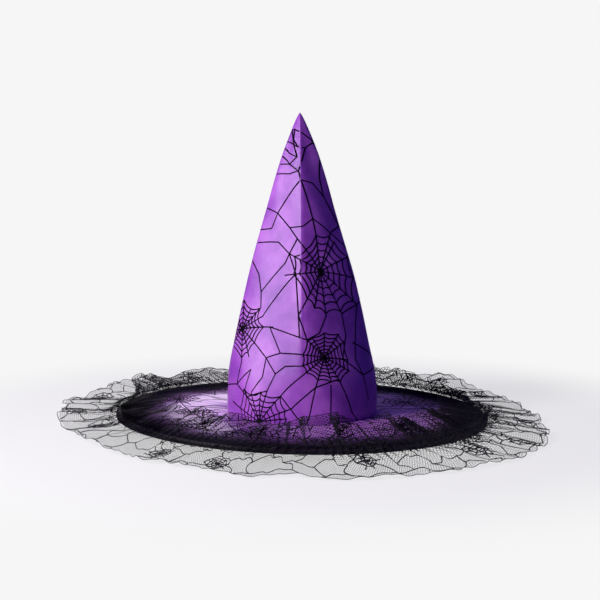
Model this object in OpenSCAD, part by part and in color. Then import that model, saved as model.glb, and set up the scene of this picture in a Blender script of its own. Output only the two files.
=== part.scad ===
// Pointed costume hat: a stiffened satin crown sewn to a flat wired brim,
// with two gathered lace flounces round the brim's edge. Millimetres, +Z up.
// The hat lies on its outer flounce. The origin is on that surface, under the middle of the head opening.

/* [Head opening] */
// Inside diameter of the sweatband
head_d = 181; // [170:1:200]
// Height of the sweatband above the brim's underside
sweatband_h = 30; // [20:1:40]

/* [Crown] */
// Height of the crown above the brim
crown_h = 379; // [300:1:420]
// How far the crown stands out past the head opening, all round
crown_swell = 4.5; // [3.5:0.1:8]
// Thickness of the stiff layer inside the crown
crown_core_t = 0.7; // [0.5:0.1:1]

/* [Brim] */
// Diameter across the bound edge
brim_d = 470; // [400:1:520]
// Height of the brim's top face above the surface that the hat lies on
brim_z = 11; // [9:0.5:16]
// Thickness of the stiff layer inside the brim
brim_core_t = 1.2; // [1:0.1:1.6]
// Diameter of the wire in the brim's edge
wire_d = 1.4; // [1:0.1:1.6]
// Width of the binding on each face
binding_w = 12; // [8:1:16]

/* [Lace] */
// Width of the outer flounce past its gathering line
outer_w = 80; // [60:1:90]
// Width of the inner flounce past its gathering line
inner_w = 60; // [40:1:70]
// Number of waves in each flounce
waves = 15; // [9:3:24]
// Thickness of a flounce's solid
lace_t = 1; // [0.8:0.1:1.2]

/* [Hidden] */
$fn = 96;

cloth_t = 0.4;           // satin, under cloth
tape_t = 0.5;            // binding and tapes
gap = 0.05;              // between layers that lie on each other
head_r = head_d / 2;
ribbon_t = 0.6;          // sweatband
allowance_t = 0.8;       // two turned-in cloth edges
allowance_h = 10;

// Heights of the brim's layers, from the top down
top_lo = brim_z - cloth_t;
core_hi = top_lo - gap;
core_lo = core_hi - brim_core_t;
under_hi = core_lo - gap;
under_lo = under_hi - cloth_t;
bind_hi = brim_z + gap + tape_t;
bind_lo = under_lo - gap - tape_t;

// Radii of the brim's edge, from the outside in
brim_r = brim_d / 2;
joiner_d = wire_d + 0.7;
joiner_len = 24;
wire_r = brim_r - tape_t - gap - joiner_d / 2;
wire_z = (bind_hi + bind_lo) / 2;
cloth_r = wire_r - joiner_d / 2 - 0.2;
bind_in_r = brim_r - binding_w;
hole_r = head_r + ribbon_t + gap + allowance_t + gap;

// Crown outline: a straight foot that swells a little, then a slightly bulging cone
crown_r_max = hole_r + crown_core_t + gap + cloth_t + crown_swell - 2;
taper = 1.146;           // where the cone would start, as a share of the foot's radius
bulge = 0.81;            // 1 is a straight cone
shoulder = 40;           // how sharply the foot turns into the cone
foot_pinch = crown_swell - 2;
foot_len = 8;
rings = 36;

// Gathering line of both flounces, on the heading tape
seam_r = brim_r - 4;
heading_hi = bind_hi + gap + tape_t;
outer_seam_z = heading_hi + gap + lace_t / 2;
inner_seam_z = outer_seam_z + lace_t + gap;
steps = 8 * waves;       // sections round each flounce
thread_d = 0.5;
gather_d = 0.8;

function smooth(x) = let (t = max(0, min(1, x))) t * t * (3 - 2 * t);

function crown_r(z) =
    let (cone = taper * pow(max(1 - z / crown_h, 0), bulge))
    cone <= 0 ? 0 : crown_r_max * pow(1 + pow(cone, -shoulder), -1 / shoulder) - foot_pinch * exp(-z / foot_len);

// Height at which the cone is only t thick in radius, which is where a layer t inside the face ends
function tip_z(t) = crown_h * (1 - pow(t / (crown_r_max * taper), 1 / bulge));

// The crown's outline t inside its outer face, from z = from to its tip
function outline(t, from = 0) =
    let (top = tip_z(t))
    concat([for (i = [0 : rings - 1]) let (z = from + (top - from) * pow(i / rings, 1.15)) [crown_r(z) - t, z]], [[0, top]]);

function reversed(list) = [for (i = [len(list) - 1 : -1 : 0]) list[i]];

// A layer of the crown from t_out to t_in inside the outer face, standing on the brim
module crown_layer(t_out, t_in) {
    translate([0, 0, brim_z + gap])
        rotate_extrude()
            polygon(concat(outline(t_out), reversed(outline(t_in))));
}

module ring(r_in, r_out, z_lo, z_hi) {
    translate([0, 0, z_lo])
        difference() {
            cylinder(r = r_out, h = z_hi - z_lo);
            translate([0, 0, -1])
                cylinder(r = r_in, h = z_hi - z_lo + 2);
        }
}

module hoop(r, z, d, angle = 360) {
    translate([0, 0, z])
        rotate_extrude(angle = angle)
            translate([r, 0])
                circle(d = d, $fn = 24);
}

module crown_cover() {
    color([0.45, 0.12, 0.72])
        crown_layer(0, cloth_t);
}

module crown_interlining() {
    color([0.9, 0.9, 0.88])
        crown_layer(cloth_t + gap, cloth_t + gap + crown_core_t);
}

// Tape over the crown's sewn edges, up the inside of the back
module back_seam_tape() {
    tape_w = 12;
    face = cloth_t + gap + crown_core_t + gap;
    tape_lo = brim_z + sweatband_h + 8;
    color([0.08, 0.08, 0.09])
        intersection() {
            crown_layer(face, face + tape_t);
            translate([-tape_w / 2, 10, tape_lo])
                cube([tape_w, crown_r_max, brim_z + crown_h * 0.86 - tape_lo]);
        }
}

module brim_top_cover() {
    color([0.45, 0.12, 0.72])
        ring(hole_r, cloth_r, top_lo, brim_z);
}

module brim_interlining() {
    color([0.9, 0.9, 0.88])
        ring(hole_r, cloth_r, core_lo, core_hi);
}

module brim_under_cover() {
    color([0.05, 0.05, 0.06])
        ring(hole_r, cloth_r, under_lo, under_hi);
}

// The hoop's two ends meet inside the joiner, at the back
module brim_wire() {
    end_gap = 0.5;       // degrees
    color([0.7, 0.7, 0.72])
        rotate([0, 0, 90 + end_gap / 2])
            hoop(wire_r, wire_z, wire_d, 360 - end_gap);
}

module wire_joiner() {
    angle = joiner_len / wire_r * 180 / PI;
    color([0.8, 0.8, 0.82])
        translate([0, 0, wire_z])
            rotate([0, 0, 90 - angle / 2])
                rotate_extrude(angle = angle)
                    translate([wire_r, 0])
                        difference() {
                            circle(d = joiner_d, $fn = 24);
                            circle(d = wire_d + 0.04, $fn = 24);
                        }
}

// Cloth tape folded round the edge and over the wire
module brim_binding() {
    color([0.05, 0.05, 0.06])
        difference() {
            ring(bind_in_r, brim_r, bind_lo, bind_hi);
            translate([0, 0, bind_lo + tape_t])
                cylinder(r = brim_r - tape_t, h = bind_hi - bind_lo - 2 * tape_t);
        }
}

module binding_stitching() {
    inset = 1.5;
    color([0.02, 0.02, 0.02]) {
        hoop(bind_in_r + inset, bind_hi + thread_d / 2, thread_d);
        hoop(bind_in_r + inset, bind_lo - thread_d / 2, thread_d);
    }
}

// Edges of the crown and the brim, turned up inside the head opening
module head_seam_allowance() {
    color([0.3, 0.08, 0.5])
        ring(head_r + ribbon_t + gap, hole_r - gap, under_lo, under_lo + allowance_h);
}

module sweatband() {
    color([0.05, 0.05, 0.06])
        ring(head_r, head_r + ribbon_t, under_lo, under_lo + sweatband_h);
}

module sweatband_stitching() {
    color([0.02, 0.02, 0.02])
        hoop(hole_r + 1.5, under_lo - thread_d / 2, thread_d);
}

// Blank woven label, caught behind the sweatband's top edge at the back
module size_label() {
    label_w = 20;
    label_h = 30;
    tucked = 8;
    color([0.92, 0.92, 0.9])
        translate([-label_w / 2, head_r + ribbon_t + 0.1, under_lo + sweatband_h - tucked])
            cube([label_w, 0.35, label_h]);
}

module lace_heading_tape() {
    color([0.03, 0.03, 0.03])
        ring(seam_r - 4, brim_r - 0.5, bind_hi + gap, heading_hi);
}

module gathering_thread() {
    color([0.02, 0.02, 0.02])
        hoop(seam_r - 0.7, heading_hi + gather_d / 2, gather_d);
}

// A closed skin round the Z axis. Each section is a list of [radius, height], spaced evenly round the axis: one face
// of the cloth and then the other, in the opposite order. Both faces are split along the same diagonals, so that
// they stay apart where the cloth twists.
module lofted_ring(sections) {
    n = len(sections);
    k = len(sections[0]);
    points = [
        for (i = [0 : n - 1], p = sections[i])
            let (a = 360 * i / n) [p[0] * cos(a), p[0] * sin(a), p[1]]
    ];
    faces = [
        for (i = [0 : n - 1], j = [0 : k - 1])
            let (i2 = (i + 1) % n, j2 = (j + 1) % k, a = i * k + j, b = i * k + j2, c = i2 * k + j2, d = i2 * k + j)
            each j < k / 2 ? [[a, c, b], [a, d, c]] : [[a, d, b], [b, d, c]]
    ];
    polyhedron(points = points, faces = faces, convexity = 8);
}

// A line of [radius, height] given thickness t, as a closed section
function thickened(line, t) =
    let (
        m = len(line) - 1,
        normals = [
            for (j = [0 : m])
                let (d = line[min(j + 1, m)] - line[max(j - 1, 0)], u = d / norm(d)) [-u[1], u[0]]
        ]
    )
    concat(
        [for (j = [0 : m]) line[j] + normals[j] * t / 2],
        [for (j = [m : -1 : 0]) line[j] - normals[j] * t / 2]
    );

// The outer flounce waves between the surface and a height that is greatest at the left and least at the front
function outer_wave(a) = 10 + 4 * cos(a - 160) - 4 * smooth(-sin(a));
function outer_edge_z(a) = lace_t / 2 + outer_wave(a) * (1 + cos(waves * a));
function outer_line(a, parts = 6) = [
    for (j = [0 : parts])
        let (s = j / parts, drop = smooth((s - 0.08) / 0.92))
        [seam_r + outer_w * s, outer_seam_z + (outer_edge_z(a) - outer_seam_z) * drop]
];

module lace_outer() {
    color([0.02, 0.02, 0.02])
        lofted_ring([for (i = [0 : steps - 1]) thickened(outer_line(360 * i / steps), lace_t)]);
}

// The inner flounce leans in over the brim and rises in front of the crown. At the back it is turned outwards,
// flat at the left and standing up in a narrower bunch at the right. Angles are in degrees, and round from +X.
lean_side = 9;           // up from the brim, at the left and the right
lean_front = 28;
lean_bunch = 118;
lean_out = 172;
turn_from = 4;           // where the turn begins and ends
turn_to = 176;
turn_len = 30;
bunch_to = 95;           // where the bunch has spread out flat
bunch_share = 0.4;       // of the width, taken up by the bunch
function turned(a) = smooth((a - turn_from) / turn_len) * (1 - smooth((a - turn_to + turn_len) / turn_len));
function bunched(a) = turned(a) * (1 - smooth((a - bunch_to + 2 * turn_len) / (2 * turn_len)));
function lean_in(a) = lean_side + (lean_front - lean_side) * smooth(-sin(a));
function lean(a) =
    let (out = lean_out + (lean_bunch - lean_out) * bunched(a))
    lean_in(a) + (out - lean_in(a)) * turned(a) - 5 * cos(waves * a);
function inner_line(a, parts = 5) = [
    for (j = [0 : parts])
        let (s = inner_w * (1 - bunch_share * bunched(a)) * j / parts)
        [seam_r - s * cos(lean(a)), inner_seam_z + s * sin(lean(a))]
];

module lace_inner() {
    color([0.02, 0.02, 0.02])
        lofted_ring([for (i = [0 : steps - 1]) thickened(inner_line(360 * i / steps), lace_t)]);
}

crown_cover();
crown_interlining();
back_seam_tape();
brim_top_cover();
brim_interlining();
brim_under_cover();
brim_wire();
wire_joiner();
brim_binding();
binding_stitching();
head_seam_allowance();
sweatband();
sweatband_stitching();
size_label();
lace_heading_tape();
gathering_thread();
lace_outer();
lace_inner();
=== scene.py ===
import math

import bmesh
import bpy
import numpy as np
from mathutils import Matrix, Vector


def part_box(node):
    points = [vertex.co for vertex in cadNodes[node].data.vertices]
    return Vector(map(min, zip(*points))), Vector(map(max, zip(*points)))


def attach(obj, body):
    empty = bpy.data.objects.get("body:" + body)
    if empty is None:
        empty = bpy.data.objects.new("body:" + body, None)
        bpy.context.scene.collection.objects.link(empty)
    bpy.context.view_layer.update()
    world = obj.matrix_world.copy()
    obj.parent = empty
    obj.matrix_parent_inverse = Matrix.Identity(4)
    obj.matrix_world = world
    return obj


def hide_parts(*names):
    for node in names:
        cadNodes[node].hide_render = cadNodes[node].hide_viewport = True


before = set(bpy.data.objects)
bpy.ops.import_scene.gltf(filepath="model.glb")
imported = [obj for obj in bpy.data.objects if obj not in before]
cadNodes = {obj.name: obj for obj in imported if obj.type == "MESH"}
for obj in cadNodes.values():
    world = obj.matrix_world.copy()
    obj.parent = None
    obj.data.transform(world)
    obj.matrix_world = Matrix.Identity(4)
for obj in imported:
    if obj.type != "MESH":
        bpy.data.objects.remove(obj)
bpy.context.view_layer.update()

mm = 0.001
scene = bpy.context.scene


def nodeRadius(node):
    low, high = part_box(node)
    return (high.x - low.x) / 2


# Places and sizes that the looks take from the frame, in metres
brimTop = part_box("brim_top_cover")[1].z
brimEdge = nodeRadius("brim_binding")
clothEdge = nodeRadius("brim_top_cover")
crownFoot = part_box("crown_cover")[0].z
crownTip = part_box("crown_cover")[1].z
crownHeight = crownTip - crownFoot
crownRadius = nodeRadius("crown_cover")
headRadius = nodeRadius("sweatband") - 0.6 * mm
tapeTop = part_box("lace_heading_tape")[1].z
seamRadius = brimEdge - 4 * mm
holeRadius = headRadius + 1.5 * mm
bindingInner = brimEdge - 12 * mm
print("frame loaded: crown", round(crownHeight, 3), "brim", round(2 * brimEdge, 3))


# Small helpers

def smooth(x):
    x = np.clip(x, 0, 1)
    return x * x * (3 - 2 * x)


def wander(angle, seed, low, high):
    # a smooth random wave round the hat, about -1 to 1, made of whole numbers of cycles
    random = np.random.default_rng(seed)
    total = np.zeros_like(angle, dtype=float)
    cycles = range(low, high + 1)
    for k in cycles:
        total += random.normal() * np.cos(k * angle + random.uniform(0, 2 * math.pi))
    return total / math.sqrt(len(cycles))


def meshObject(name, points, faces, edges=()):
    mesh = bpy.data.meshes.new(name)
    mesh.from_pydata([tuple(p) for p in points], list(edges), [tuple(f) for f in faces])
    mesh.update()
    piece = bpy.data.objects.new(name, mesh)
    scene.collection.objects.link(piece)
    return piece


def shadeSmooth(piece):
    piece.data.polygons.foreach_set("use_smooth", [True] * len(piece.data.polygons))
    piece.data.update()


def clothGrid(name, points, cut, closed=True):
    # points is columns x rows x 3; cut is each point's place on the flat cloth, and a closed piece's cut
    # has one more column
    columns, rows = points.shape[:2]
    i, j = np.meshgrid(np.arange(columns if closed else columns - 1), np.arange(rows - 1), indexing="ij")
    corners = [(i, j), (i + 1, j), (i + 1, j + 1), (i, j + 1)]
    faces = np.stack([(a % columns) * rows + b for a, b in corners], -1).reshape(-1, 4)
    piece = meshObject(name, points.reshape(-1, 3), faces.tolist())
    layer = piece.data.uv_layers.new(name="cut")
    places = np.stack([cut[a, b] for a, b in corners], 2).reshape(-1, 2)
    layer.data.foreach_set("uv", places.astype(np.float32).ravel())
    shadeSmooth(piece)
    return piece


def mergePoints(piece, distance=0.002 * mm):
    work = bmesh.new()
    work.from_mesh(piece.data)
    bmesh.ops.remove_doubles(work, verts=work.verts, dist=distance)
    work.to_mesh(piece.data)
    work.free()


def applyModifiers(piece):
    graph = bpy.context.evaluated_depsgraph_get()
    mesh = bpy.data.meshes.new_from_object(piece.evaluated_get(graph))
    piece.modifiers.clear()
    old = piece.data
    piece.data = mesh
    mesh.name = piece.name
    bpy.data.meshes.remove(old)


def thicken(piece, thickness, offset=-1):
    solid = piece.modifiers.new("thickness", "SOLIDIFY")
    solid.thickness = thickness
    solid.offset = offset
    applyModifiers(piece)
    shadeSmooth(piece)


def put(piece, slot, *replaced, material=None):
    if material:
        piece.data.materials.clear()
        piece.data.materials.append(material)
    if replaced:
        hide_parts(*replaced)
    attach(piece, "root")
    return piece


def triangles(piece):
    return sum(len(p.vertices) - 2 for p in piece.data.polygons)


def newNode(tree, kind, inputs=None, **settings):
    # inputs gives each socket its value, or the output that is linked to it
    node = tree.nodes.new(kind)
    for key, value in settings.items():
        setattr(node, key, value)
    for socket, value in (inputs or {}).items():
        if hasattr(value, "is_output"):
            tree.links.new(value, node.inputs[socket])
        else:
            node.inputs[socket].default_value = value
    return node


# The brim lies a little higher towards -X than towards +X
brimLie = {
    "rise": 4.5 * mm,  # at the -X edge, and as much down at the +X edge
    "from": holeRadius,
}


def brimLift(x, y):
    radius = np.hypot(x, y)
    reach = np.clip((radius - brimLie["from"]) / (brimEdge - brimLie["from"]), 0, 1)
    return -brimLie["rise"] * reach * x / np.maximum(radius, 1e-6)


# Materials

def newMaterial(name, color, roughness, **inputs):
    material = bpy.data.materials.new(name)
    material.use_nodes = True
    shader = material.node_tree.nodes["Principled BSDF"]
    shader.inputs["Base Color"].default_value = (*color, 1)
    shader.inputs["Roughness"].default_value = roughness
    for socket, value in inputs.items():
        shader.inputs[socket.replace("_", " ")].default_value = value
    return material


def addNode(material, kind, inputs=None, **settings):
    return newNode(material.node_tree, kind, inputs, **settings)


def feed(material, socket, source):
    shader = material.node_tree.nodes["Principled BSDF"]
    material.node_tree.links.new(source, shader.inputs[socket])


def mathNode(material, operation, *values):
    return addNode(material, "ShaderNodeMath", dict(enumerate(values)), operation=operation).outputs[0]


def objectPlace(material):
    return addNode(material, "ShaderNodeTexCoord").outputs["Object"]


def distanceOut(material):
    # how far a place is from the hat's axis
    flat = addNode(material, "ShaderNodeMapping", {"Scale": (1, 1, 0), "Vector": objectPlace(material)})
    return addNode(material, "ShaderNodeVectorMath", {0: flat.outputs["Vector"]},
                   operation="LENGTH").outputs["Value"]


def easeBetween(material, value, low, high):
    # eased from 0 at low to 1 at high
    return addNode(material, "ShaderNodeMapRange", {"From Min": low, "From Max": high, "Value": value},
                   interpolation_type="SMOOTHSTEP").outputs["Result"]


def blend(material, factor, first, second):
    return addNode(material, "ShaderNodeMapRange",
                   {"To Min": first, "To Max": second, "Value": factor}).outputs["Result"]


def noise(material, coordinate, scale):
    return addNode(material, "ShaderNodeTexNoise",
                   {"Scale": scale, "Detail": 3, "Vector": coordinate}).outputs["Fac"]


def ramp(material, factor, stops):
    node = addNode(material, "ShaderNodeValToRGB", {"Fac": factor})
    elements = node.color_ramp.elements
    while len(elements) < len(stops):
        elements.new(0.5)
    for element, (position, color) in zip(elements, stops):
        element.position = position
        element.color = (*color, 1)
    return node.outputs["Color"]


def bump(material, height, distance, strength):
    node = addNode(material, "ShaderNodeBump", {"Distance": distance, "Strength": strength, "Height": height})
    feed(material, "Normal", node.outputs["Normal"])


def weave(material, coordinate, pitch, stretch=(1, 1, 1)):
    # crossed threads: two sets of bands added together
    stretched = addNode(material, "ShaderNodeMapping", {"Scale": stretch, "Vector": coordinate})
    bands = [addNode(material, "ShaderNodeTexWave",
                     {"Scale": math.pi / (10 * pitch), "Distortion": 0.4, "Detail": 1,
                      "Vector": stretched.outputs["Vector"]},
                     wave_type="BANDS", bands_direction=direction).outputs["Fac"]
             for direction in ("X", "Y")]
    return mathNode(material, "ADD", *bands)


satinLook = {
    "deep": (0.18, 0.028, 0.34),
    "middle": (0.27, 0.058, 0.43),
    "bright": (0.38, 0.11, 0.53),
    "roughness": 0.36,
    "clouding": 26,
    "roughening": 9,  # the slow unevenness under the threads
    "thread": 0.35 * mm,
}


# when paintedRimShade is given, shade is painted into the satin's colour near the brim's edge
def satinMaterial(name, paintedRimShade=None):
    material = newMaterial(name, satinLook["middle"], satinLook["roughness"],
                           Sheen_Weight=0.25, Sheen_Roughness=0.4, Sheen_Tint=(1.0, 0.72, 1.0, 1),
                           Specular_IOR_Level=0.62, IOR=1.5)
    place = objectPlace(material)
    clouds = noise(material, place, satinLook["clouding"])
    color = ramp(material, clouds, [(0.3, satinLook["deep"]), (0.5, satinLook["middle"]),
                                    (0.72, satinLook["bright"])])
    if paintedRimShade:
        # painted shade: the satin's colour darkens to nearly black towards the brim's edge, and its gloss and
        # sheen fade there, standing in for the shade at the rim
        shade = easeBetween(material, distanceOut(material), paintedRimShade["from"], paintedRimShade["to"])
        color = addNode(material, "ShaderNodeMix", {"Factor": shade, 6: color, 7: (*paintedRimShade["color"], 1)},
                        data_type="RGBA").outputs[2]
        sockets = material.node_tree.nodes["Principled BSDF"].inputs
        for socket, dull in (("Specular IOR Level", 0.05), ("Sheen Weight", 0.0), ("Roughness", 1.0)):
            feed(material, socket, blend(material, shade, sockets[socket].default_value, dull))
    feed(material, "Base Color", color)
    cut = addNode(material, "ShaderNodeUVMap", uv_map="cut")
    threads = weave(material, cut.outputs["UV"], satinLook["thread"], (1, 0.5, 1))
    rough = noise(material, place, satinLook["roughening"])
    bump(material, mathNode(material, "MULTIPLY_ADD", rough, 6.0, threads), 0.08 * mm, 0.5)
    return material


def unevenTone(material, factor, color, tone):
    dark = tuple(c * (1 - tone) for c in color)
    light = tuple(min(c * (1 + tone), 1) for c in color)
    feed(material, "Base Color", ramp(material, factor, [(0.3, dark), (0.7, light)]))


def grainMaterial(name, color, roughness, grain, tone, depth, **inputs):
    # a fine uneven grain in the colour and in the surface
    material = newMaterial(name, color, roughness, **inputs)
    fine = noise(material, objectPlace(material), grain)
    unevenTone(material, fine, color, tone)
    bump(material, fine, depth, 0.6)
    return material


def clothMaterial(name, color, roughness, pitch, depth, tone=0.35, onCut=False):
    # plain woven cloth: threads in the bump, and a slow change of tone
    material = newMaterial(name, color, roughness, Specular_IOR_Level=0.15)
    if onCut:
        place = addNode(material, "ShaderNodeUVMap", uv_map="cut").outputs["UV"]
    else:
        place = objectPlace(material)
    unevenTone(material, noise(material, place, 60), color, tone)
    bump(material, weave(material, place, pitch), depth, 0.8)
    return material


inkMaterial = grainMaterial("web_print_ink", (0.004, 0.003, 0.006), 0.85, 700, 0.4, 0.02 * mm,
                            Specular_IOR_Level=0.03)
netMaterial = grainMaterial("lace_net_thread", (0.006, 0.006, 0.007), 0.7, 1500, 0.4, 0.04 * mm,
                            Specular_IOR_Level=0.15)
cordMaterial = grainMaterial("lace_cord", (0.005, 0.005, 0.006), 0.65, 1200, 0.4, 0.06 * mm,
                             Specular_IOR_Level=0.2)
threadMaterial = grainMaterial("black_sewing_thread", (0.008, 0.008, 0.009), 0.55, 1800, 0.3, 0.04 * mm,
                               Specular_IOR_Level=0.3)
print("materials ready")


# Geometry Nodes: a flat thing drawn on the cut cloth is laid on the made-up cloth by the cloth's own map

def newTree(name, sockets):
    tree = bpy.data.node_groups.new(name, "GeometryNodeTree")
    keys = {}
    for label, kind in (("Geometry", "Geometry"), *sockets):
        socket = tree.interface.new_socket(name=label, in_out="INPUT", socket_type="NodeSocket" + kind)
        keys[label] = socket.identifier
    tree.interface.new_socket(name="Geometry", in_out="OUTPUT", socket_type="NodeSocketGeometry")
    return tree, newNode(tree, "NodeGroupInput").outputs, keys


def layOnCloth(tree, given, geometry):
    # (x, y) on the cut cloth becomes a place on the made-up cloth, and z stands off it
    cloth = newNode(tree, "GeometryNodeObjectInfo", {"Object": given["Cloth"]}, transform_space="ORIGINAL")
    cut = newNode(tree, "GeometryNodeInputNamedAttribute", {"Name": "cut"}, data_type="FLOAT_VECTOR")
    place = newNode(tree, "GeometryNodeInputPosition")
    split = newNode(tree, "ShaderNodeSeparateXYZ", {0: place.outputs[0]}).outputs
    flat = newNode(tree, "ShaderNodeCombineXYZ", {0: split[0], 1: split[1]})
    sampled = []
    for field in ("GeometryNodeInputPosition", "GeometryNodeInputNormal"):
        value = newNode(tree, field)
        sample = newNode(tree, "GeometryNodeSampleUVSurface", {
            "Mesh": cloth.outputs["Geometry"], "Value": value.outputs[0],
            "UV Map": cut.outputs["Attribute"], "Sample UV": flat.outputs[0]}, data_type="FLOAT_VECTOR")
        sampled.append(sample.outputs)
    point, normal = sampled
    offset = newNode(tree, "ShaderNodeVectorMath", {0: normal["Value"], "Scale": split[2]}, operation="SCALE")
    moved = newNode(tree, "ShaderNodeVectorMath", {0: point["Value"], 1: offset.outputs[0]}, operation="ADD")
    outside = newNode(tree, "FunctionNodeBooleanMath", {0: point["Is Valid"]}, operation="NOT")
    keep = newNode(tree, "GeometryNodeDeleteGeometry",
                   {"Geometry": geometry, "Selection": outside.outputs[0]}, domain="POINT")
    return newNode(tree, "GeometryNodeSetPosition",
                   {"Geometry": keep.outputs[0], "Position": moved.outputs[0]}).outputs[0]


def finishTree(tree, given, geometry):
    real = newNode(tree, "GeometryNodeRealizeInstances", {0: geometry})
    paint = newNode(tree, "GeometryNodeSetMaterial",
                    {"Geometry": real.outputs[0], "Material": given["Material"]})
    newNode(tree, "NodeGroupOutput", {0: paint.outputs[0]})


def makeLineTree():
    # drawn lines become flat bands of the given width and thickness on the cloth
    tree, given, keys = newTree("lines on cloth", [
        ("Cloth", "Object"), ("Width", "Float"), ("Thickness", "Float"), ("Step", "Float"),
        ("Material", "Material")])
    lines = newNode(tree, "GeometryNodeMeshToCurve", {"Mesh": given["Geometry"]})
    even = newNode(tree, "GeometryNodeResampleCurve",
                   {"Curve": lines.outputs[0], "Length": given["Step"]}, mode="LENGTH")
    level = newNode(tree, "GeometryNodeSetCurveNormal", {"Curve": even.outputs[0]}, mode="Z_UP")
    profile = newNode(tree, "GeometryNodeCurvePrimitiveQuadrilateral",
                      {"Width": given["Width"], "Height": given["Thickness"]}, mode="RECTANGLE")
    bands = newNode(tree, "GeometryNodeCurveToMesh",
                    {"Curve": level.outputs[0], "Profile Curve": profile.outputs[0], "Fill Caps": True})
    finishTree(tree, given, layOnCloth(tree, given, bands.outputs[0]))
    return tree, keys


def makeNetTree():
    # one net cell is repeated at each point, the cells are joined and the net is laid on the cloth
    tree, given, keys = newTree("net on cloth", [
        ("Cloth", "Object"), ("Cell", "Object"), ("Join", "Float"), ("Material", "Material")])
    cell = newNode(tree, "GeometryNodeObjectInfo", {"Object": given["Cell"]}, transform_space="ORIGINAL")
    copies = newNode(tree, "GeometryNodeInstanceOnPoints",
                     {"Points": given["Geometry"], "Instance": cell.outputs["Geometry"]})
    real = newNode(tree, "GeometryNodeRealizeInstances", {0: copies.outputs[0]})
    joined = newNode(tree, "GeometryNodeMergeByDistance",
                     {"Geometry": real.outputs[0], "Distance": given["Join"]})
    finishTree(tree, given, layOnCloth(tree, given, joined.outputs[0]))
    return tree, keys


def makeStitchTree():
    # one stitch is repeated along a path at an even pitch, turned to follow it
    tree, given, keys = newTree("stitches along a path", [
        ("Stitch", "Object"), ("Pitch", "Float"), ("Material", "Material")])
    path = newNode(tree, "GeometryNodeMeshToCurve", {"Mesh": given["Geometry"]})
    even = newNode(tree, "GeometryNodeResampleCurve",
                   {"Curve": path.outputs[0], "Length": given["Pitch"]}, mode="LENGTH")
    direction = newNode(tree, "GeometryNodeInputTangent")
    turned = newNode(tree, "FunctionNodeAlignRotationToVector", {"Vector": direction.outputs[0]}, axis="X")
    stitch = newNode(tree, "GeometryNodeObjectInfo", {"Object": given["Stitch"]}, transform_space="ORIGINAL")
    copies = newNode(tree, "GeometryNodeInstanceOnPoints", {
        "Points": even.outputs[0], "Instance": stitch.outputs["Geometry"], "Rotation": turned.outputs[0]})
    finishTree(tree, given, copies.outputs[0])
    return tree, keys


lineTree, netTree, stitchTree = makeLineTree(), makeNetTree(), makeStitchTree()


def runTree(piece, treeAndKeys, **values):
    tree, keys = treeAndKeys
    modifier = piece.modifiers.new(tree.name, "NODES")
    modifier.node_group = tree
    for label, value in values.items():
        modifier[keys[label]] = value
    applyModifiers(piece)


def drawLines(name, lines, cloth, width, thickness, step, material):
    # lines are drawn on the cut cloth; half of their thickness sinks into it
    points, edges = [], []
    for line in lines:
        first = len(points)
        points += [(x, y, 0) for x, y in line]
        edges += [(k, k + 1) for k in range(first, len(points) - 1)]
    piece = meshObject(name, points, [], edges)
    runTree(piece, lineTree, Cloth=cloth, Width=width, Thickness=thickness, Step=step, Material=material)
    return piece


# Spider webs, drawn flat

def webLines(centre, up, reach, spokes, rings, tall, random, tails=0.35, toward=(), lean=0.0):
    # rings of thread that sag between uneven spokes; up is the direction in which the web is drawn out,
    # lean draws it out sideways, and the nearest spoke turns to meet each place in toward
    centre = np.array(centre)
    up = np.array(up) / np.hypot(*up)
    across = np.array([up[1], -up[0]])
    turn = random.uniform(0, 2 * math.pi)
    angles = turn + (np.arange(spokes) + random.uniform(-0.25, 0.25, spokes)) * 2 * math.pi / spokes
    for place in toward:
        away = np.array(place) - centre
        wanted = math.atan2(away @ up / tall, away @ across)
        nearest = np.argmax(np.cos(angles - wanted))
        angles[nearest] = wanted
    angles = np.sort(np.mod(angles, 2 * math.pi))
    lengths = reach * random.uniform(0.8, 1.15, spokes) * (1 + lean * np.cos(angles))
    directions = [across * math.cos(a) + up * math.sin(a) * tall for a in angles]
    lines = []
    for direction, length in zip(directions, lengths):
        tail = random.uniform(1.1, 1.7) if random.random() < tails else 1.0
        lines.append([centre, centre + direction * length * tail])
    for k in range(1, rings + 1):
        share = (k / rings) ** 1.25
        ring = []
        for a in range(spokes):
            b = (a + 1) % spokes
            start = directions[a] * lengths[a] * share
            stop = directions[b] * lengths[b] * share
            middle = (start + stop) / 2 * 0.86
            for t in (0, 0.25, 0.5, 0.75):
                ring.append(centre + start * (1 - t) ** 2 + 2 * middle * t * (1 - t) + stop * t * t)
        lines.append(ring + [ring[0]])
    return lines


# Crown: a cone of satin with flat facets between six creases, which are rounder near its foot
crownShape = {
    "taper": 1.146,
    "bulge": 0.81,
    "shoulder": 40,
    "footPinch": 2.5 * mm,
    "footLength": 8 * mm,
    "corners": (271, 339, 37, 97, 150, 198),  # degrees round from the hat's left-hand side, +X
    "flattening": 0.8,
    "spread": 0.6,             # how far the corners stand out, as a share of how far the facets drop
    "rounding": (0.26, 0.04),  # of the corners, at the foot and higher up, in radians
    "roundingOver": 190 * mm,
    "flatFrom": 14 * mm,
    "flatOver": 85 * mm,
    "lean": -2.5 * mm,
    "pucker": 0.9 * mm,
    "puckerLength": 26 * mm,
    "unevenness": 0.7 * mm,
    "evenAtFoot": 30 * mm,
    "evenAtTip": 60 * mm,
    "lieOver": 15 * mm,        # how far up the foot follows the brim's lie
    "columns": 288,
    "rows": 150,
}


def crownOutline(z):
    # the CAD outline: its radius at a height above the foot
    cone = crownShape["taper"] * np.maximum(1 - z / crownHeight, 1e-9) ** crownShape["bulge"]
    swell = (cone ** -crownShape["shoulder"] + 1) ** (-1 / crownShape["shoulder"])
    return crownRadius * swell - crownShape["footPinch"] * np.exp(-z / crownShape["footLength"])


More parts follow.
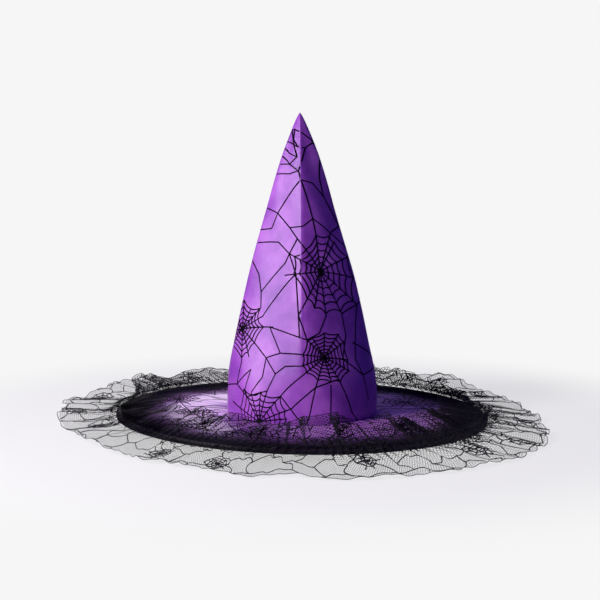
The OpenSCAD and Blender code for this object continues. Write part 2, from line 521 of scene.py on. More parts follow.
def crownPoint(angle, z, inset=0.0):
    shape = crownShape
    corners = np.radians(np.sort(shape["corners"]))
    around = np.mod(angle, 2 * math.pi)
    nextCorner = np.searchsorted(corners, around) % len(corners)
    lastCorner = corners[nextCorner - 1]
    half = np.mod(corners[nextCorner] - lastCorner, 2 * math.pi) / 2
    off = np.mod(around - lastCorner, 2 * math.pi) - half
    atFoot, higherUp = shape["rounding"]
    blunt = higherUp + (atFoot - higherUp) * (1 - smooth(z / shape["roundingOver"]))
    facet = np.cos(half) / np.cos(half - np.hypot(half - np.abs(off), blunt))
    flat = shape["flattening"] * smooth((z - shape["flatFrom"]) / shape["flatOver"])
    # a flat facet loses cloth, so its corners stand out where its middle drops
    depth = (facet - 1 + (1 - np.cos(half)) * shape["spread"]) * flat
    radius = crownOutline(z) * (1 + depth) - inset
    radius = radius + np.exp(-z / shape["puckerLength"]) * shape["pucker"] * wander(angle, 5, 7, 16)
    middle = smooth(z / shape["evenAtFoot"]) * smooth((crownHeight - z) / shape["evenAtTip"])
    radius = np.maximum(radius + shape["unevenness"] * wander(angle + z * 9, 9, 3, 7) * middle, 0)
    x = radius * np.cos(angle) + shape["lean"] * (z / crownHeight) ** 2
    y = radius * np.sin(angle)
    height = crownFoot + z + brimLift(x, y) * np.exp(-z / shape["lieOver"])
    return np.stack([x, y, height], -1)


coneSpread = 0.29  # how far the cut cloth fans out, as a share of the angle round the crown


def crownSlant(z):
    heights = np.linspace(0, crownHeight, 400)
    radii = crownOutline(heights)
    steps = np.hypot(np.diff(heights), np.diff(radii))
    down = np.concatenate([[0], np.cumsum(steps[::-1])])[::-1]  # distance from the tip
    return np.interp(z, heights, down)


def fanPlace(turn, slant):
    # place on the cut cloth, whose two straight edges meet at the back
    fan = turn * coneSpread
    return np.stack([slant * np.sin(fan), -slant * np.cos(fan)], -1)


def crownCut(angle, z):
    return fanPlace(np.mod(angle - math.pi / 2, 2 * math.pi) - math.pi, crownSlant(z))


def crownSheet(name, columns, rows, inset, topGap):
    angles = math.pi / 2 + np.linspace(0, 2 * math.pi, columns, endpoint=False)
    share = np.linspace(0, 1, rows)
    heights = (crownHeight - topGap) * (0.75 * share + 0.25 * share * share)
    a, z = np.meshgrid(angles, heights, indexing="ij")
    points = crownPoint(a, z, inset)
    points[:, -1] = points[:, -1].mean(0)
    turns = np.linspace(-math.pi, math.pi, columns + 1)
    piece = clothGrid(name, points, fanPlace(turns[:, None], crownSlant(heights)))
    mergePoints(piece)
    return piece


crownCover = crownSheet("crown_satin", crownShape["columns"], crownShape["rows"], 0.0, 0.0)
print("crown cover", triangles(crownCover))

crownPrint = {
    "line": 1.6 * mm,
    "stand": 0.3 * mm,
    "step": 2.5 * mm,
    # webs: angle round in degrees, height above the brim, reach, spokes, rings, height to width, lean
    "webs": [
        (292, 185 * mm, 38 * mm, 13, 6, 1.34, 0.25), (288, 83 * mm, 33 * mm, 13, 7, 0.95, 0.2),
        (207, 112 * mm, 33 * mm, 13, 6, 1.0, 0), (237, 3 * mm, 43 * mm, 17, 6, 1.0, 0),
        (15, 150 * mm, 34 * mm, 13, 6, 1.1, 0), (62, 62 * mm, 32 * mm, 13, 6, 1.0, 0),
        (125, 175 * mm, 36 * mm, 13, 6, 1.2, 0), (140, 58 * mm, 30 * mm, 12, 6, 1.0, 0),
        (60, 245 * mm, 26 * mm, 11, 5, 1.2, 0), (172, 20 * mm, 28 * mm, 12, 5, 1.0, 0),
        (150, 275 * mm, 20 * mm, 9, 4, 1.3, 0), (112, 8 * mm, 30 * mm, 13, 5, 1.0, 0),
    ],
    # long threads between the webs: points of angle in degrees and height in mm
    "threads": [
        [(203, 357), (227, 358), (336, 342)],
        [(203, 357), (200, 343), (197, 335), (195, 326), (236, 315), (260, 324), (241, 339), (203, 357)],
        [(200, 343), (241, 339), (262, 336), (288, 335), (336, 342)], [(227, 358), (236, 345), (262, 336)],
        [(197, 335), (228, 328), (260, 324)], [(190, 314), (236, 315), (265, 307), (288, 335)],
        [(190, 302), (240, 303), (265, 307), (270, 296), (288, 249), (291, 229), (292, 185)],
        [(350, 331), (320, 298), (320, 275)],
        [(270, 296), (296, 292), (320, 275), (336, 238), (316, 231), (345, 205)],
        [(270, 296), (227, 255), (253, 238), (265, 225), (292, 185)],
        [(190, 262), (227, 255), (220, 236), (190, 232)],
        [(253, 238), (272, 240), (288, 249), (316, 231), (292, 185)],
        [(190, 216), (237, 220), (255, 207), (292, 185)],
        [(265, 225), (250, 195), (222, 159), (225, 140), (207, 112)], [(195, 200), (214, 180), (222, 159)],
        [(292, 185), (264, 183), (229, 130), (207, 112)],
        [(255, 207), (264, 183), (267, 134), (274, 105), (288, 83)], [(292, 185), (267, 134), (268, 108)],
        [(292, 185), (293, 132), (285, 112), (274, 105)], [(207, 112), (239, 118), (274, 105)],
        [(239, 118), (252, 88), (268, 88), (288, 83)],
        [(207, 112), (239, 81), (249, 63), (257, 73), (270, 74), (288, 83)],
        [(252, 88), (239, 81), (238, 58), (229, 38), (237, 3)], [(249, 63), (243, 42), (237, 3)],
        [(207, 112), (214, 72), (212, 45), (225, 32), (237, 3)],
        [(190, 38), (212, 45), (226, 66), (222, 40), (225, 32), (243, 42)],
        [(288, 83), (258, 45), (254, 37), (237, 3)], [(254, 37), (266, 12), (272, 0)],
        [(288, 83), (280, 48), (262, 22), (237, 3)], [(280, 48), (299, 56), (310, 14), (318, 0)],
        [(280, 48), (275, 10), (272, 0)], [(292, 50), (291, 0)],
        [(292, 185), (312, 133), (312, 106), (305, 79), (288, 83)], [(305, 79), (324, 57), (345, 62)],
        [(324, 57), (330, 24)], [(312, 133), (333, 142), (318, 78), (324, 57)],
        [(292, 185), (333, 142), (345, 150), (15, 150)], [(318, 98), (345, 75), (15, 60), (62, 62)],
        [(15, 150), (5, 110), (15, 60)], [(15, 150), (35, 115), (62, 62), (88, 66)], [(92, 66), (140, 58)],
        [(336, 238), (5, 225), (15, 150), (40, 190), (60, 245)],
        [(60, 245), (30, 290), (327, 342), (60, 330), (88, 318)], [(92, 318), (150, 275)],
        [(60, 245), (88, 222)], [(92, 222), (125, 175), (96, 130), (100, 70), (100, 8)],
        [(88, 140), (62, 62)], [(125, 175), (150, 215), (190, 216)], [(150, 275), (175, 255), (190, 262)],
        [(150, 275), (150, 215)], [(125, 175), (150, 120), (180, 130), (207, 112)],
        [(150, 120), (140, 58), (165, 70), (180, 100), (207, 112)], [(165, 70), (172, 20), (190, 38)],
        [(140, 58), (120, 30), (100, 8)], [(88, 20), (62, 62), (40, 25), (20, 0)],
    ],
}


def crownPrintLines():
    random = np.random.default_rng(31)
    lines = []

    def flat(angle, z):
        return crownCut(np.radians(angle), z)

    for angle, z, reach, spokes, rings, tall, lean in crownPrint["webs"]:
        centre = flat(angle, z)
        toward = []
        for thread in crownPrint["threads"]:
            for k, place in enumerate(thread):
                if place == (angle, round(z / mm)):
                    toward += [flat(a, h * mm) for a, h in thread[max(k - 1, 0):k] + thread[k + 1:k + 2]]
        lines += webLines(centre, -centre, reach, spokes, rings, tall, random, 0.1, toward, lean)
    for thread in crownPrint["threads"]:
        lines.append([flat(a, min(z * mm, crownHeight - 1 * mm)) for a, z in thread])
    return lines


crownInk = drawLines("crown_web_print", crownPrintLines(), crownCover, crownPrint["line"],
                     crownPrint["stand"], crownPrint["step"], inkMaterial)
print("crown print", triangles(crownInk))

satin = satinMaterial("printed_purple_satin")
thicken(crownCover, 0.4 * mm)
put(crownCover, "printed_satin", "crown_cover", material=satin)
put(crownInk, "printed_satin")

# Brim cover: flat satin with small radial wrinkles that start at the crown's foot
brimFolds = {
    "columns": 540,
    "rows": 40,
    "wrinkle": 1.5 * mm,
    "slow": 1.2 * mm,
    "reach": 55 * mm,
}


def brimWrinkle(angle, radius):
    near = np.exp(-(radius - holeRadius) / brimFolds["reach"])
    ridges = np.abs(wander(angle + 1.5 * (radius - holeRadius), 12, 18, 46))
    slow = 0.5 + 0.5 * wander(angle, 4, 3, 8)
    fade = smooth((bindingInner - 2 * mm - radius) / (25 * mm))
    return (brimFolds["wrinkle"] * near * ridges + brimFolds["slow"] * np.clip(slow, 0, 2)) * fade


def brimSheet(name, z, radii, wrinkled):
    angles = np.linspace(0, 2 * math.pi, brimFolds["columns"], endpoint=False)
    a, r = np.meshgrid(angles, radii, indexing="ij")
    x, y = r * np.cos(a), r * np.sin(a)
    height = z + brimLift(x, y)
    if wrinkled:
        height = height + brimWrinkle(a, r)
    cut = np.stack([x, y], -1)
    cut = np.concatenate([cut, cut[:1]])
    return clothGrid(name, np.stack([x, y, height], -1), cut)


brimRadii = clothEdge - (clothEdge - holeRadius) * np.linspace(0, 1, brimFolds["rows"])
brimCover = brimSheet("brim_satin", brimTop, brimRadii, True)

brimPrint = {
    "line": 1.5 * mm,
    # webs: angle round in degrees, radius, reach, spokes, rings
    "webs": [
        (157, 178 * mm, 26 * mm, 10, 5), (128, 196 * mm, 40 * mm, 13, 6), (95, 168 * mm, 36 * mm, 12, 5),
        (62, 190 * mm, 38 * mm, 13, 6), (28, 158 * mm, 34 * mm, 12, 5), (-6, 186 * mm, 36 * mm, 12, 6),
        (-42, 160 * mm, 38 * mm, 13, 6), (-78, 182 * mm, 36 * mm, 12, 6), (-112, 158 * mm, 36 * mm, 12, 5),
        (-148, 180 * mm, 38 * mm, 13, 6), (184, 140 * mm, 24 * mm, 10, 4),
    ],
    # long threads, outwards to the edge and inwards to the foot: from radius, to radius, count
    "threads": [(0.17, 0.24, 30), (0.09, 0.15, 26)],
}


def brimPrintLines():
    random = np.random.default_rng(17)
    lines, centres = [], []
    for angle, radius, reach, spokes, rings in brimPrint["webs"]:
        centre = radius * np.array([math.cos(math.radians(angle)), math.sin(math.radians(angle))])
        centres.append(centre)
        lines += webLines(centre, (1, 0.3), reach, spokes, rings, 1.0, random, 0.5)
    for k, centre in enumerate(centres):
        other = centres[(k + 1) % len(centres)]
        middle = (centre + other) / 2 * random.uniform(0.85, 1.05)
        lines.append([centre, middle, other])
        lines.append([middle, middle * 0.4])
    for low, high, count in brimPrint["threads"]:
        for k in range(count):
            angle = (k + random.uniform(-0.3, 0.3)) * 2 * math.pi / count
            bend = angle + random.uniform(-0.22, 0.22)
            route = ((low, angle), ((low + high) / 2, bend), (high, angle + 0.1))
            lines.append([(radius * math.cos(turn), radius * math.sin(turn)) for radius, turn in route])
    return lines


brimInk = drawLines("brim_web_print", brimPrintLines(), brimCover, brimPrint["line"], crownPrint["stand"],
                    crownPrint["step"], inkMaterial)
# the brim's satin has painted shade: its colour darkens to nearly black between radius 0.153 and 0.208 m
paintedShadeSatin = satinMaterial("brim_purple_satin", {"from": 0.153, "to": 0.208, "color": (0.006, 0.003, 0.014)})
thicken(brimCover, 0.4 * mm)
put(brimCover, "printed_satin", "brim_top_cover", material=paintedShadeSatin)
put(brimInk, "printed_satin")
print("brim cover", triangles(brimCover), "print", triangles(brimInk))

# Hidden layers: the CAD solids' own shapes, with the brim's lie
feltMaterial = clothMaterial("stiff_nonwoven_felt", (0.62, 0.61, 0.58), 0.9, 1.1 * mm, 0.05 * mm, 0.12)
backingMaterial = clothMaterial("black_backing_cloth", (0.014, 0.014, 0.017), 0.75, 0.5 * mm, 0.06 * mm)
tapeMaterial = clothMaterial("black_woven_tape", (0.009, 0.009, 0.011), 0.6, 0.6 * mm, 0.06 * mm)
wireMaterial = grainMaterial("millinery_steel_wire", (0.46, 0.46, 0.47), 0.32, 500, 0.15, 0.01 * mm,
                             Metallic=1.0)
sleeveMaterial = grainMaterial("steel_sleeve", (0.62, 0.62, 0.64), 0.25, 600, 0.1, 0.01 * mm, Metallic=1.0)


def lyingCopy(name, node, slot, material, smoothFaces=False):
    # the CAD node's shape on the lying brim
    piece = bpy.data.objects.new(name, cadNodes[node].data.copy())
    scene.collection.objects.link(piece)
    mergePoints(piece)
    places = np.array([v.co for v in piece.data.vertices])
    places[:, 2] += brimLift(places[:, 0], places[:, 1])
    piece.data.vertices.foreach_set("co", places.astype(np.float32).ravel())
    if smoothFaces:
        shadeSmooth(piece)
    piece.data.update()
    return put(piece, slot, node, material=material)


lyingCopy("brim_felt", "brim_interlining", "stiffener", feltMaterial)
brimBacking = lyingCopy("brim_backing", "brim_under_cover", "black_cloth", backingMaterial)
lyingCopy("edge_wire", "brim_wire", "millinery_wire", wireMaterial, True)
lyingCopy("edge_wire_sleeve", "wire_joiner", "wire_sleeve", sleeveMaterial)
brimBinding = lyingCopy("edge_binding", "brim_binding", "black_tape", tapeMaterial)
lyingCopy("lace_tape", "lace_heading_tape", "black_tape", tapeMaterial)

# The crown's stiff layer and the tape over its back seam
crownFelt = crownSheet("crown_felt", 144, 100, 0.7 * mm, 1.5 * mm)
thicken(crownFelt, 0.7 * mm)
put(crownFelt, "stiffener", "crown_interlining", material=feltMaterial)


def seamTape():
    low, high = (box.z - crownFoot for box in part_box("back_seam_tape"))
    heights = np.linspace(low, high, 90)
    across = np.linspace(6 * mm, -6 * mm, 7)
    z, x = np.meshgrid(heights, across, indexing="ij")
    angle = math.pi / 2 - x / np.maximum(crownOutline(z), 12 * mm)
    points = crownPoint(angle, z, 1.55 * mm)
    points = points.transpose(1, 0, 2)
    cut = np.stack([x, z], -1).transpose(1, 0, 2)
    tape = clothGrid("back_tape", points, cut, closed=False)
    thicken(tape, 0.45 * mm)
    return tape


backTape = put(seamTape(), "black_tape", "back_seam_tape", material=tapeMaterial)
print("layers done")

# CAD nodes whose own shape is right, with better materials
ribbonBlack = (0.011, 0.011, 0.013)
ribbonMaterial = newMaterial("grosgrain_ribbon", ribbonBlack, 0.5, Sheen_Weight=0.2)
ribbonPlace = objectPlace(ribbonMaterial)
unevenTone(ribbonMaterial, noise(ribbonMaterial, ribbonPlace, 80), ribbonBlack, 0.3)
turn = addNode(ribbonMaterial, "ShaderNodeTexGradient", {"Vector": ribbonPlace}, gradient_type="RADIAL")
ribCount = 480
ribAngle = mathNode(ribbonMaterial, "MULTIPLY", turn.outputs["Fac"], 2 * math.pi * ribCount)
bump(ribbonMaterial, mathNode(ribbonMaterial, "SINE", ribAngle), 0.15 * mm, 0.8)
allowanceMaterial = clothMaterial("turned_satin_edges", (0.16, 0.02, 0.36), 0.5, 0.4 * mm, 0.05 * mm)
for node, material in (("sweatband", ribbonMaterial), ("head_seam_allowance", allowanceMaterial)):
    for slot in cadNodes[node].material_slots:
        slot.material = material


def stitchMesh(length, width, rise):
    # a short thread that dips into the cloth at both ends
    work = bmesh.new()
    bmesh.ops.create_uvsphere(work, u_segments=8, v_segments=6, radius=0.5)
    for vertex in work.verts:
        x, y, z = vertex.co
        vertex.co = (z * length, y * width, x * width + rise * (0.25 - z * z))
    mesh = bpy.data.meshes.new("stitch")
    work.to_mesh(mesh)
    work.free()
    stitch = bpy.data.objects.new("stitch", mesh)
    scene.collection.objects.link(stitch)
    return stitch


def stitchRing(name, radius, levels, stitch, *replaced):
    # a closed row of stitches at each level
    angles = np.linspace(0, 2 * math.pi, 360, endpoint=False)
    points, edges = [], []
    for level in levels:
        first = len(points)
        for angle in angles:
            x, y = radius * math.cos(angle), radius * math.sin(angle)
            points.append((x, y, level + float(brimLift(x, y))))
        edges += [(first + k, first + (k + 1) % len(angles)) for k in range(len(angles))]
    piece = meshObject(name, points, [], edges)
    thread = stitchMesh(stitch["length"], stitch["width"], 0.4 * stitch["width"])
    runTree(piece, stitchTree, Stitch=thread, Pitch=stitch["pitch"], Material=threadMaterial)
    bpy.data.objects.remove(thread)
    shadeSmooth(piece)
    put(piece, "black_thread", *replaced)


machineStitch = {"length": 2.7 * mm, "width": 0.5 * mm, "pitch": 3.2 * mm, "off": 0.22 * mm}
gatherStitch = {"length": 4.6 * mm, "width": 0.8 * mm, "pitch": 5.6 * mm, "off": 0.38 * mm}
bindLow, bindTop = (corner.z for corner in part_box("brim_binding"))
stitchRing("edge_binding_stitches", bindingInner + 1.5 * mm,
           (bindTop + machineStitch["off"], bindLow - machineStitch["off"]),
           machineStitch, "binding_stitching")
stitchRing("sweatband_stitches", holeRadius + 1.5 * mm,
           (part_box("brim_under_cover")[0].z - machineStitch["off"],), machineStitch, "sweatband_stitching")
stitchRing("gathering_stitches", seamRadius - 0.7 * mm,
           (tapeTop + gatherStitch["off"],), gatherStitch, "gathering_thread")


def wovenLabel():
    low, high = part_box("size_label")
    x, z = np.meshgrid(np.linspace(low.x, high.x, 21), np.linspace(low.z, high.z, 31), indexing="ij")
    radius = low.y + 0.18 * mm
    loose = smooth((z - low.z - 8 * mm) / (22 * mm))  # the label's upper part stands in a little
    y = np.sqrt(radius ** 2 - x ** 2) - 1.2 * mm * loose
    y = y + 0.5 * mm * np.sin(x * 260) * loose
    cut = np.stack([x - low.x, z - low.z], -1)
    label = clothGrid("woven_label", np.stack([x, y, z], -1), cut, closed=False)
    thicken(label, 0.3 * mm, 0)
    return label


labelMaterial = clothMaterial("woven_label_cloth", (0.8, 0.8, 0.77), 0.6, 0.45 * mm, 0.05 * mm, 0.05, True)
label = put(wovenLabel(), "label_cloth", "size_label", material=labelMaterial)
print("trim done")

# Lace: a hexagon net with cords in a web pattern, cut as two strips and gathered onto the brim's edge
lace = {
    "length": 2.1,
    "width": {"outer": 80 * mm, "inner": 60 * mm},
    "columns": 1800,
    "rows": 20,
    "fullness": 150,    # narrow pleats at the gathering
    "pleat": 3.0 * mm,
    "pleatOver": 1.5,   # how far a pleat leans over sideways, as a share of its height
    "pleatRise": {"outer": 1.6, "inner": 1.25},
    "pleatFade": {"outer": 0.28, "inner": 0.5},  # shares of the width over which the pleats die out
    "headFade": 0.06,
    "waves": 15,
    "mesh": 2.9 * mm,
    "netThread": {"outer": 0.47 * mm, "inner": 0.7 * mm},
    "lobe": (28, 62),    # of the scalloped edge, shortest and longest, in mm
    "lobeDepth": (2, 8),
    "cord": 1.15 * mm,
    "edgeCord": 0.75 * mm,
    "cordThickness": 0.5 * mm,
    "netShare": 0.3,     # how much of the net's area is thread
}
cordNet = {
    "shift": 0.36,       # how far the knots stray, as a share of their spacing
    "sag": 0.26,
    "gaps": 0.1,         # share of the cords that are missing
    "webEvery": 150 * mm,
    "webReach": 15 * mm,
}
outerSeam = tapeTop + 0.55 * mm
innerSeam = outerSeam + 1.05 * mm


def between(angle, stops):
    # eases round the hat from one stop (degrees, value) to the next, from -180 to 180
    degrees = np.degrees(np.mod(angle + math.pi, 2 * math.pi)) - 180
    at, values = zip(*stops)
    place = np.interp(degrees, at, np.arange(len(at)))
    low = np.minimum(place.astype(int), len(at) - 2)
    values = np.array(values)
    return values[low] + (values[low + 1] - values[low]) * smooth(place - low)


def seamPleats(a, s, side):
    # narrow pleats that die out away from the seam
    height = 0.8 + 0.25 * wander(a, 22, 6, 30)
    wave = np.sin(lace["fullness"] * a + 2.2 * wander(a, 21, 3, 24)) * height
    return lace["pleatRise"][side] * lace["pleat"] * wave * np.exp(-s / lace["pleatFade"][side])


def laceGrid():
    # the strips' ends meet at the back
    angles = math.pi / 2 + np.linspace(0, 2 * math.pi, lace["columns"], endpoint=False)
    share = np.linspace(0, 1, lace["rows"]) ** 1.2
    return np.meshgrid(angles, share, indexing="ij")


def softFloor(z, floor, width=1.5 * mm):
    over = z - floor
    return floor + 0.5 * (over + np.sqrt(over ** 2 + width ** 2))


outerRest = {
    # stops round the hat in degrees and mm: height of the free edge above the floor
    "height": [(-180, 17), (-135, 8), (-112, 3), (-60, 3), (-20, 3.5), (22, 3.5), (42, 17), (60, 19),
               (90, 14), (120, 19), (140, 19), (158, 14), (180, 17)],
    # how much further out or in the free edge lies than the flounce is wide
    "reach": [(-180, 3), (-155, -4), (-138, -13), (-122, -11), (-108, -1), (-95, 6), (-75, 20), (-50, 25),
              (-30, 15), (-12, 1), (5, -6), (30, -2), (60, 0), (180, 3)],
    # how far the free edge waves up and down, and how deep the folds are
    "wave": [(-180, 2.2), (-135, 2.4), (-112, 1.6), (-60, 1.8), (-20, 2.2), (25, 3), (45, 4), (90, 4),
             (150, 4), (180, 2.2)],
    "fold": [(-180, 1.2), (-135, 1.2), (-100, 0.7), (-60, 0.9), (-20, 1.8), (25, 1.7), (90, 1.2), (140, 1.4),
             (180, 1.2)],
    "folds": 46,
    "narrowFolds": 97,
    "overEdge": 5 * mm,  # how far past the brim the net stays up before it drops
}


def outerLace():
    a, s = laceGrid()
    radius = seamRadius + lace["width"]["outer"] * s * (1 - 0.02 * np.abs(wander(a, 41, 8, 20)))
    radius = radius + mm * s * (2.0 * wander(a, 42, 10, 40) - 3.5 * np.abs(wander(a, 47, 4, 14))
                                + between(a, outerRest["reach"]))
    edge = between(a, outerRest["height"]) * mm
    edge = edge + between(a, outerRest["wave"]) * mm * np.cos(lace["waves"] * a + 1.4 * wander(a, 43, 2, 6))
    drop = smooth((s - 0.08) / 0.92)
    fine = seamPleats(a, s, "outer")
    fold = between(a, outerRest["fold"]) * mm * smooth(s / 0.35) * (
        np.sin(outerRest["folds"] * a + 3.5 * wander(a, 44, 2, 9) + 1.2 * s * wander(a, 45, 3, 12))
        + 0.7 * np.sin(outerRest["narrowFolds"] * a + 3 * wander(a, 46, 3, 16) - 2 * s))
    z = outerSeam + (edge - outerSeam) * drop + fine + lace["pleat"] * np.exp(-s / lace["headFade"]) + fold
    angle = a + lace["pleatOver"] * fine / radius
    x, y = radius * np.cos(angle), radius * np.sin(angle)
    lift = brimLift(x, y)
    onBrim = smooth((brimEdge + outerRest["overEdge"] - radius) / (3 * mm))
    z = softFloor(z + lift * np.exp(-s / 0.4), 0.4 * mm)
    z = np.maximum(z, (tapeTop + 0.45 * mm + lift) * onBrim)
    return a, s, np.stack([x, y, z], -1)


innerLie = {
    "side": 9, "front": 25, "bunch": 118, "out": 172,  # lean above the brim, in degrees
    "turnFrom": 4, "turnTo": 176, "turnOver": 30, "bunchTo": 95, "bunchShare": 0.7,
    "pleats": 52,
    "pleatHeight": 2.0 * mm,
    "pleatOver": 2.8,
    "knot": 0.8,       # how much narrower the flounce is where it turns over
    "crumple": 7.5 * mm,
}


def innerTurns(a):
    lie = innerLie
    degrees = np.degrees(np.mod(a, 2 * math.pi))
    turned = smooth((degrees - lie["turnFrom"]) / lie["turnOver"]) * (
        1 - smooth((degrees - lie["turnTo"] + lie["turnOver"]) / lie["turnOver"]))
    bunched = turned * (1 - smooth((degrees - lie["bunchTo"] + 2 * lie["turnOver"]) / (2 * lie["turnOver"])))
    return turned, bunched


def innerLace():
    a, s = laceGrid()
    lie = innerLie
    turned, bunched = innerTurns(a)
    lean = lie["side"] + (lie["front"] - lie["side"]) * smooth(-np.sin(a))
    out = lie["out"] + (lie["bunch"] - lie["out"]) * bunched
    wave = 5 * np.cos(lace["waves"] * a + 1.2 * wander(a, 53, 2, 6))
    lean = np.radians(lean + (out - lean) * turned - wave)
    lean = lean + np.radians(4) * wander(a, 58, 6, 22) * (1 - turned)
    turning = (4 * turned * (1 - turned)) ** 0.6
    reach = lace["width"]["inner"] * s * (1 - lie["bunchShare"] * bunched)
    reach = reach * (1 - lie["knot"] * turning * (np.cos(a) < 0))
    rightSide = 1 - smooth((np.degrees(np.mod(a, 2 * math.pi)) - 12) / 45)
    reach = reach * (1 - 0.6 * smooth(turned * 3) * rightSide)
    reach = reach * (1 - 0.05 * np.abs(wander(a, 54, 8, 30)))
    fine = seamPleats(a, s, "inner")
    growth = smooth(s / 0.9)
    uneven = np.clip(0.75 + 0.5 * wander(a, 59, 9, 33), 0.15, 1.6)
    wide = lie["pleatHeight"] * growth * uneven * (1 - 0.5 * turned * (1 - bunched)) * (
        np.sin(lie["pleats"] * a + 5 * wander(a, 51, 3, 16) + 2.5 * s * wander(a, 55, 4, 18))
        + 0.4 * np.sin(2.3 * lie["pleats"] * a + 3 * wander(a, 56, 3, 20)))
    up = np.exp(-s / 0.12)
    crumple = bunched * lie["crumple"] * smooth(s / 0.2) * np.sin(16 * s + 2.5 * wander(a, 57, 5, 60))
    offset = fine + wide + crumple
    radial = seamRadius - reach * np.cos(lean) + offset * np.sin(lean) * (1 - up)
    z = innerSeam + reach * np.sin(lean) + offset * (np.cos(lean) * (1 - up) + up)
    z = z + lace["pleat"] * np.exp(-s / lace["headFade"])
    angle = a + (lie["pleatOver"] * wide + lace["pleatOver"] * fine) / np.maximum(radial, 0.1)
    x, y = radial * np.cos(angle), radial * np.sin(angle)
    lift = brimLift(x, y)
    z = np.maximum(z + lift, brimTop + 1.2 * mm + lift)
    return a, s, np.stack([x, y, z], -1)


def laceSheet(name, shape, width):
    a, s, points = shape()
    columns = np.arange(lace["columns"] + 1) / lace["columns"] * lace["length"]
    cut = np.stack(np.broadcast_arrays(columns[:, None], s[:1] * width), -1)
    return clothGrid(name, points, cut)


def scallops(width, seed):
    # the free edge's height on the flat strip: uneven lobes
    random = np.random.default_rng(seed)
    ends = [0.0]
    while ends[-1] < lace["length"]:
        ends.append(ends[-1] + random.uniform(*lace["lobe"]) * mm)
    ends = np.array(ends) * lace["length"] / ends[-1]
    deep = random.uniform(*lace["lobeDepth"], len(ends)) * mm

    def edge(u):
        k = np.clip(np.searchsorted(ends, u, side="right") - 1, 0, len(ends) - 2)
        t = (u - ends[k]) / (ends[k + 1] - ends[k])
        return width - deep[k] * (1 - np.sqrt(np.clip(4 * t * (1 - t), 0, 1))) - 0.8 * mm

    return edge


def netCell(thread):
    # two corners of the hexagon net and three threads
    pitch = lace["length"] / round(lace["length"] / lace["mesh"])
    low = np.array([0.0, 0.0])
    high = np.array([0.0, pitch / math.sqrt(3)])
    step = np.array([pitch / 2, pitch * math.sqrt(3) / 2])
    along = np.array([pitch, 0.0])
    points, faces = [], []
    size = thread / math.sqrt(3)

    def corner(centre, angle):
        return centre + size * np.array([math.cos(math.radians(angle)), math.sin(math.radians(angle))])

    def add(*places):
        first = len(points)
        points.extend((x, y, 0) for x, y in places)
        faces.append(tuple(range(first, len(points))))

    add(*(corner(low, a) for a in (30, 150, 270)))
    add(*(corner(high, a) for a in (90, 210, 330)))
    for other, fromTwo, toTwo in ((high, (30, 150), (210, 330)), (high - step, (150, 270), (330, 90)),
                                  (high - step + along, (270, 30), (90, 210))):
        add(*(corner(low, a) for a in fromTwo), *(corner(other, a) for a in toTwo))
    cell = meshObject("net_cell", points, faces)
    mergePoints(cell, 0.005 * mm)
    return cell, pitch


def netPoints(width, edge, pitch, half):
    rows = int(width / (pitch * math.sqrt(3) / 2))
    count = round(lace["length"] / pitch)
    i, k = np.meshgrid(np.arange(count), np.arange(1, rows), indexing="ij")
    u = ((i + (k % 2) * 0.5) * pitch).ravel()
    v = (k * pitch * math.sqrt(3) / 2).ravel()
    keep = (v < edge(u) - pitch * 0.6) & ((u < lace["length"] / 2) == (half == 0))
    return np.stack([u[keep], v[keep], 0 * u[keep]], -1)


def cordLines(width, edge, seed, spacing):
    # a large uneven net of cords with small webs in it
    random = np.random.default_rng(seed)
    length = lace["length"]
    columns = round(length / spacing)
    stepU = length / columns
    rows = max(2, round(width / (spacing * 0.8)))
    stepV = width / (rows - 0.35)
    nodes = {}
    for i in range(-1, columns + 2):
        for k in range(-1, rows + 2):
            shift = random.uniform(-cordNet["shift"], cordNet["shift"], 4) * (stepU, stepV, stepU, stepV)
            low = np.array([(i + 0.5 * (k % 2)) * stepU, (k - 0.35) * stepV])
            nodes[i, k, 0] = low + shift[:2]
            nodes[i, k, 1] = low + (0, 0.58 * stepV) + shift[2:] * 0.8
    lines = []

    def join(p, q):
        sag = random.uniform(-cordNet["sag"], cordNet["sag"]) * np.array([q[1] - p[1], p[0] - q[0]])
        route = [p * (1 - t) + q * t + sag * 4 * t * (1 - t) for t in np.linspace(0, 1, 7)]
        route = [place for place in route if 0.5 * mm < place[1] < edge(place[0])]
        if len(route) > 1 and random.random() > cordNet["gaps"]:
            lines.append(route)

    for i in range(0, columns + 1):
        for k in range(0, rows + 1):
            odd = k % 2
            join(nodes[i, k, 0], nodes[i, k, 1])
            join(nodes[i, k, 0], nodes[i - 1 + odd, k - 1, 1])
            join(nodes[i, k, 0], nodes[i + odd, k - 1, 1])
    for k in range(round(length / cordNet["webEvery"])):
        centre = ((k + random.uniform(0.2, 0.8)) * cordNet["webEvery"], width * random.uniform(0.4, 0.75))
        for route in webLines(centre, (0, 1), cordNet["webReach"], 9, 3, 1.0, random, 0.6):
            inside = [p for p in route if 1 * mm < p[1] < edge(p[0])]
            if len(inside) > 1:
                lines.append(inside)
    return lines


def edgeLine(edge):
    u = np.linspace(0.2 * mm, lace["length"] - 0.2 * mm, 1500)
    return [list(zip(u, edge(u) - 0.3 * mm))]


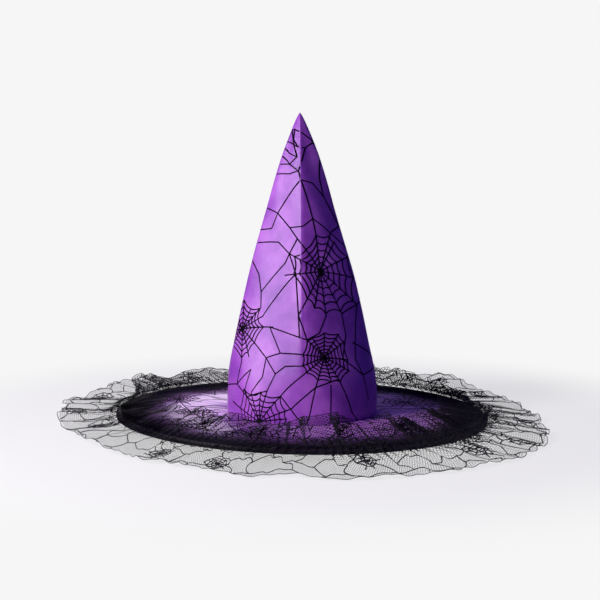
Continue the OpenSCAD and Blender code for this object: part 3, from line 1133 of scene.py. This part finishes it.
def makeLace(place, shape, seed, spacing):
    name, width = place + "_flounce", lace["width"][place]
    carrier = laceSheet(name + "_carrier", shape, width)
    edge = scallops(width, seed)
    cell, pitch = netCell(lace["netThread"][place])
    for half, side in enumerate(("left", "right")):
        net = meshObject(name + "_net_" + side, netPoints(width, edge, pitch, half), [])
        runTree(net, netTree, Cloth=carrier, Cell=cell, Join=0.01 * mm, Material=netMaterial)
        put(net, "black_lace", "lace_" + place)
    cords, rim = (
        put(drawLines(name + ending, lines, carrier, thickness, lace["cordThickness"], step, cordMaterial),
            "black_lace")
        for ending, lines, thickness, step in (
            ("_cords", cordLines(width, edge, seed + 1, spacing), lace["cord"], 2.5 * mm),
            ("_edge_cord", edgeLine(edge), lace["edgeCord"], 2.0 * mm)))
    bpy.data.objects.remove(carrier)
    bpy.data.objects.remove(cell)


makeLace("outer", outerLace, 61, 38 * mm)
makeLace("inner", innerLace, 71, 34 * mm)

# Floor, light and camera
white = (1, 1, 1, 1)
paper = {"radius": 6, "glow": 0.69, "albedo": 0.2, "near": 0.36, "far": 0.62, "farGlow": 0.922}
floorMesh = bmesh.new()
bmesh.ops.create_circle(floorMesh, cap_ends=True, radius=paper["radius"], segments=96)
floorData = bpy.data.meshes.new("floor")
floorMesh.to_mesh(floorData)
floorMesh.free()
floor = bpy.data.objects.new("floor", floorData)
floor.location.z = -0.4 * mm
scene.collection.objects.link(floor)
floorMaterial = newMaterial("pale_paper", (0.9, 0.9, 0.9), 0.9)
out = easeBetween(floorMaterial, distanceOut(floorMaterial), paper["near"], paper["far"])
strength = blend(floorMaterial, out, paper["glow"], paper["farGlow"])
albedo = blend(floorMaterial, out, paper["albedo"], 0.0)
grey = addNode(floorMaterial, "ShaderNodeCombineColor", {channel: albedo for channel in range(3)})
glow = addNode(floorMaterial, "ShaderNodeEmission", {"Color": white, "Strength": strength})
diffuse = addNode(floorMaterial, "ShaderNodeBsdfDiffuse", {"Color": grey.outputs["Color"]})
total = addNode(floorMaterial, "ShaderNodeAddShader",
                {0: glow.outputs["Emission"], 1: diffuse.outputs["BSDF"]})
floorNodes = floorMaterial.node_tree.nodes
floorMaterial.node_tree.links.new(total.outputs["Shader"], floorNodes["Material Output"].inputs["Surface"])
floorNodes.remove(floorNodes["Principled BSDF"])
floorData.materials.append(floorMaterial)
floor.visible_diffuse = False
floor.visible_glossy = False

world = bpy.data.worlds.new("studio")
world.use_nodes = True
scene.world = world
background = world.node_tree.nodes["Background"]
background.inputs["Color"].default_value = (0.30, 0.17, 1.0, 1)
background.inputs["Strength"].default_value = 0.2
seen = addNode(world, "ShaderNodeBackground", {"Color": white, "Strength": paper["farGlow"]})
rays = addNode(world, "ShaderNodeLightPath")
choose = addNode(world, "ShaderNodeMixShader", {
    "Fac": rays.outputs["Is Camera Ray"], 1: background.outputs[0], 2: seen.outputs[0]})
world.node_tree.links.new(choose.outputs[0], world.node_tree.nodes["World Output"].inputs["Surface"])


def areaLight(name, azimuth, elevation, distance, size, energy, color):
    # azimuth is measured round from +X
    light = bpy.data.lights.new(name, "AREA")
    light.shape = "SQUARE"
    light.size = size
    light.energy = energy
    light.color = color
    lamp = bpy.data.objects.new(name, light)
    a, e = math.radians(azimuth), math.radians(elevation)
    target = Vector((0, 0, 0.12))
    toward = Vector((math.cos(e) * math.cos(a), math.cos(e) * math.sin(a), math.sin(e)))
    lamp.location = target + distance * toward
    lamp.rotation_euler = (target - lamp.location).to_track_quat("-Z", "Y").to_euler()
    scene.collection.objects.link(lamp)


areaLight("key", 218, 24, 1.7, 0.5, 41, (1.0, 0.93, 0.97))
areaLight("back_left", 102, 8, 1.6, 0.5, 4.5, (1.0, 0.92, 0.98))

camera = bpy.data.objects.new("camera", bpy.data.cameras.new("camera"))
camera.data.lens = 84.4
camera.data.sensor_width = 36
camera.location = (-0.0025, -1.767, 0.354)
camera.rotation_euler = (math.radians(83.57), 0, 0)
scene.collection.objects.link(camera)
scene.camera = camera
scene.view_settings.view_transform = "Standard"
